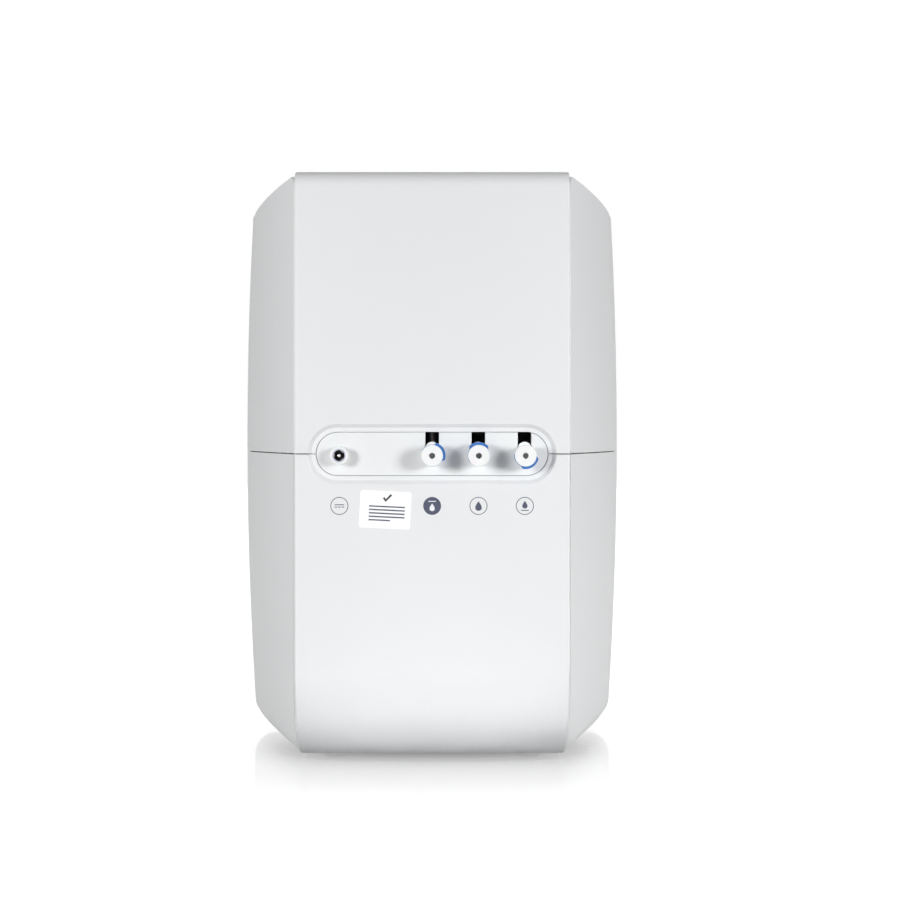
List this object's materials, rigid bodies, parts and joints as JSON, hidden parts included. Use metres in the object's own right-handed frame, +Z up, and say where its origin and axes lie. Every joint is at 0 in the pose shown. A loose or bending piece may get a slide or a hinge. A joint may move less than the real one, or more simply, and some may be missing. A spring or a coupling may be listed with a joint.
{
  "type": "water purifier",
  "caption": "Under-sink reverse osmosis water purifier with a flared white casing, a rear port panel, hanging filter cartridges, a booster pump and a pull-off front cover.",
  "frame": {"origin": "middle of the part's bounding box on the ground under the feet", "axes": "+Z up, +X to the right when facing the rear port panel, -Y out of the rear panel, +Y towards the front cover"},
  "size_m": [0.3022, 0.2174, 0.423],
  "materials": {
    "casing": "satin moulded white",
    "panel": "fine matt moulded white",
    "port_white": "smooth white acetal",
    "clip_blue": "smooth blue acetal",
    "black_plastic": "matt black",
    "contact_metal": "bright plated",
    "steel": "zinc plated",
    "rubber": "matt black",
    "window": "dark tinted window",
    "frame_plastic": "matt grey",
    "filter_white": "glossy white",
    "filter_media": "fibrous pressed media",
    "carbon_media": "sintered black",
    "pump_black": "matt dark grey",
    "copper": "lacquered windings",
    "brass": "machined",
    "coil_blue": "matt blue encapsulation",
    "board": "green solder mask",
    "tube": "smooth milky tube"
  },
  "bodies": {
    "casing": {"upper_shell": "casing", "lower_shell": "casing", "port_panel": "panel", "rubber_feet": "rubber", "display_board": "board", "display_parts": "black_plastic", "strike_plates": "steel", "port_fittings": "port_white", "collets": "port_white", "port_seals": "rubber", "jack_shell": "port_white", "jack_insert": "black_plastic", "jack_pin": "contact_metal", "jack_nut": "steel", "inner_frame": "frame_plastic", "filter_manifold": "frame_plastic", "manifold_screws": "steel", "frame_screws": "steel", "seam_screws": "steel", "motor_can": "steel", "motor_magnets": "black_plastic", "motor_bearings": "brass", "crank_housing": "pump_black", "pump_rocker": "frame_plastic", "pump_diaphragm": "rubber", "pump_head": "pump_black", "pump_cradle": "steel", "pump_dampers": "rubber", "pump_shelf": "steel", "valve_bodies": "frame_plastic", "valve_coils": "coil_blue", "flow_meter": "frame_plastic", "control_board": "board", "board_parts": "black_plastic", "tubes_and_leads": "tube"},
    "cover": {"front_cover": "casing", "display_lens": "window", "cover_magnets": "steel"},
    "flush_key": {"flush_button": "port_white"},
    "reset_key": {"reset_button": "port_white"},
    "inlet_lock": {"inlet_clip": "clip_blue"},
    "pure_lock": {"pure_clip": "clip_blue"},
    "drain_lock": {"drain_clip": "clip_blue"},
    "inlet_stopper": {"inlet_plug": "port_white"},
    "pure_stopper": {"pure_plug": "port_white"},
    "drain_stopper": {"drain_plug": "port_white"},
    "prefilter": {"prefilter_housing": "filter_white", "prefilter_element": "filter_media", "prefilter_seals": "rubber"},
    "membrane": {"membrane_housing": "filter_white", "membrane_element": "filter_media", "membrane_seals": "rubber"},
    "postfilter": {"postfilter_housing": "filter_white", "postfilter_element": "carbon_media", "postfilter_seals": "rubber"},
    "pump_rotor": {"motor_rotor": "copper", "pump_eccentric": "brass"},
    "inlet_armature": {"inlet_plunger": "steel"},
    "flush_armature": {"flush_plunger": "steel"},
    "paddle_wheel": {"meter_wheel": "clip_blue"}
  },
  "joints": [
    {"name": "cover_pull", "type": "slide", "parent": "casing", "child": "cover", "axis": [0, 1, 0], "range_m": [0, 0.12]},
    {"name": "flush_press", "type": "slide", "parent": "cover", "child": "flush_key", "axis": [0, -1, 0], "range_m": [0, 0.0012], "stiffness_N_per_m": 800, "springref_m": -0.0005},
    {"name": "reset_press", "type": "slide", "parent": "cover", "child": "reset_key", "axis": [0, -1, 0], "range_m": [0, 0.0012], "stiffness_N_per_m": 800, "springref_m": -0.0005},
    {"name": "inlet_clip_pull", "type": "slide", "parent": "casing", "child": "inlet_lock", "axis": [0.9063, 0, 0.4226], "range_m": [0, 0.011]},
    {"name": "pure_clip_pull", "type": "slide", "parent": "casing", "child": "pure_lock", "axis": [0, 0, 1], "range_m": [0, 0.011]},
    {"name": "drain_clip_pull", "type": "slide", "parent": "casing", "child": "drain_lock", "axis": [0.5446, 0, -0.8387], "range_m": [0, 0.011]},
    {"name": "inlet_plug_pull", "type": "slide", "parent": "casing", "child": "inlet_stopper", "axis": [0, -1, 0], "range_m": [0, 0.03]},
    {"name": "pure_plug_pull", "type": "slide", "parent": "casing", "child": "pure_stopper", "axis": [0, -1, 0], "range_m": [0, 0.03]},
    {"name": "drain_plug_pull", "type": "slide", "parent": "casing", "child": "drain_stopper", "axis": [0, -1, 0], "range_m": [0, 0.03]},
    {"name": "prefilter_twist", "type": "hinge", "parent": "casing", "child": "prefilter", "pos_m": [-0.084, 0.05013, 0.19], "axis": [0, 0, 1], "range_deg": [0, 90]},
    {"name": "membrane_twist", "type": "hinge", "parent": "casing", "child": "membrane", "pos_m": [0, 0.05013, 0.19], "axis": [0, 0, 1], "range_deg": [0, 90]},
    {"name": "postfilter_twist", "type": "hinge", "parent": "casing", "child": "postfilter", "pos_m": [0.084, 0.05013, 0.19], "axis": [0, 0, 1], "range_deg": [0, 90]},
    {"name": "pump_spin", "type": "hinge", "parent": "casing", "child": "pump_rotor", "pos_m": [0, -0.04087, 0.076], "axis": [1, 0, 0], "continuous": true},
    {"name": "inlet_valve_lift", "type": "slide", "parent": "casing", "child": "inlet_armature", "axis": [0, 0, 1], "range_m": [0, 0.003], "stiffness_N_per_m": 300, "springref_m": -0.002},
    {"name": "flush_valve_lift", "type": "slide", "parent": "casing", "child": "flush_armature", "axis": [0, 0, 1], "range_m": [0, 0.003], "stiffness_N_per_m": 300, "springref_m": -0.002},
    {"name": "meter_spin", "type": "hinge", "parent": "casing", "child": "paddle_wheel", "pos_m": [0.084, -0.00687, 0.253], "axis": [0, 1, 0], "continuous": true}
  ]
}
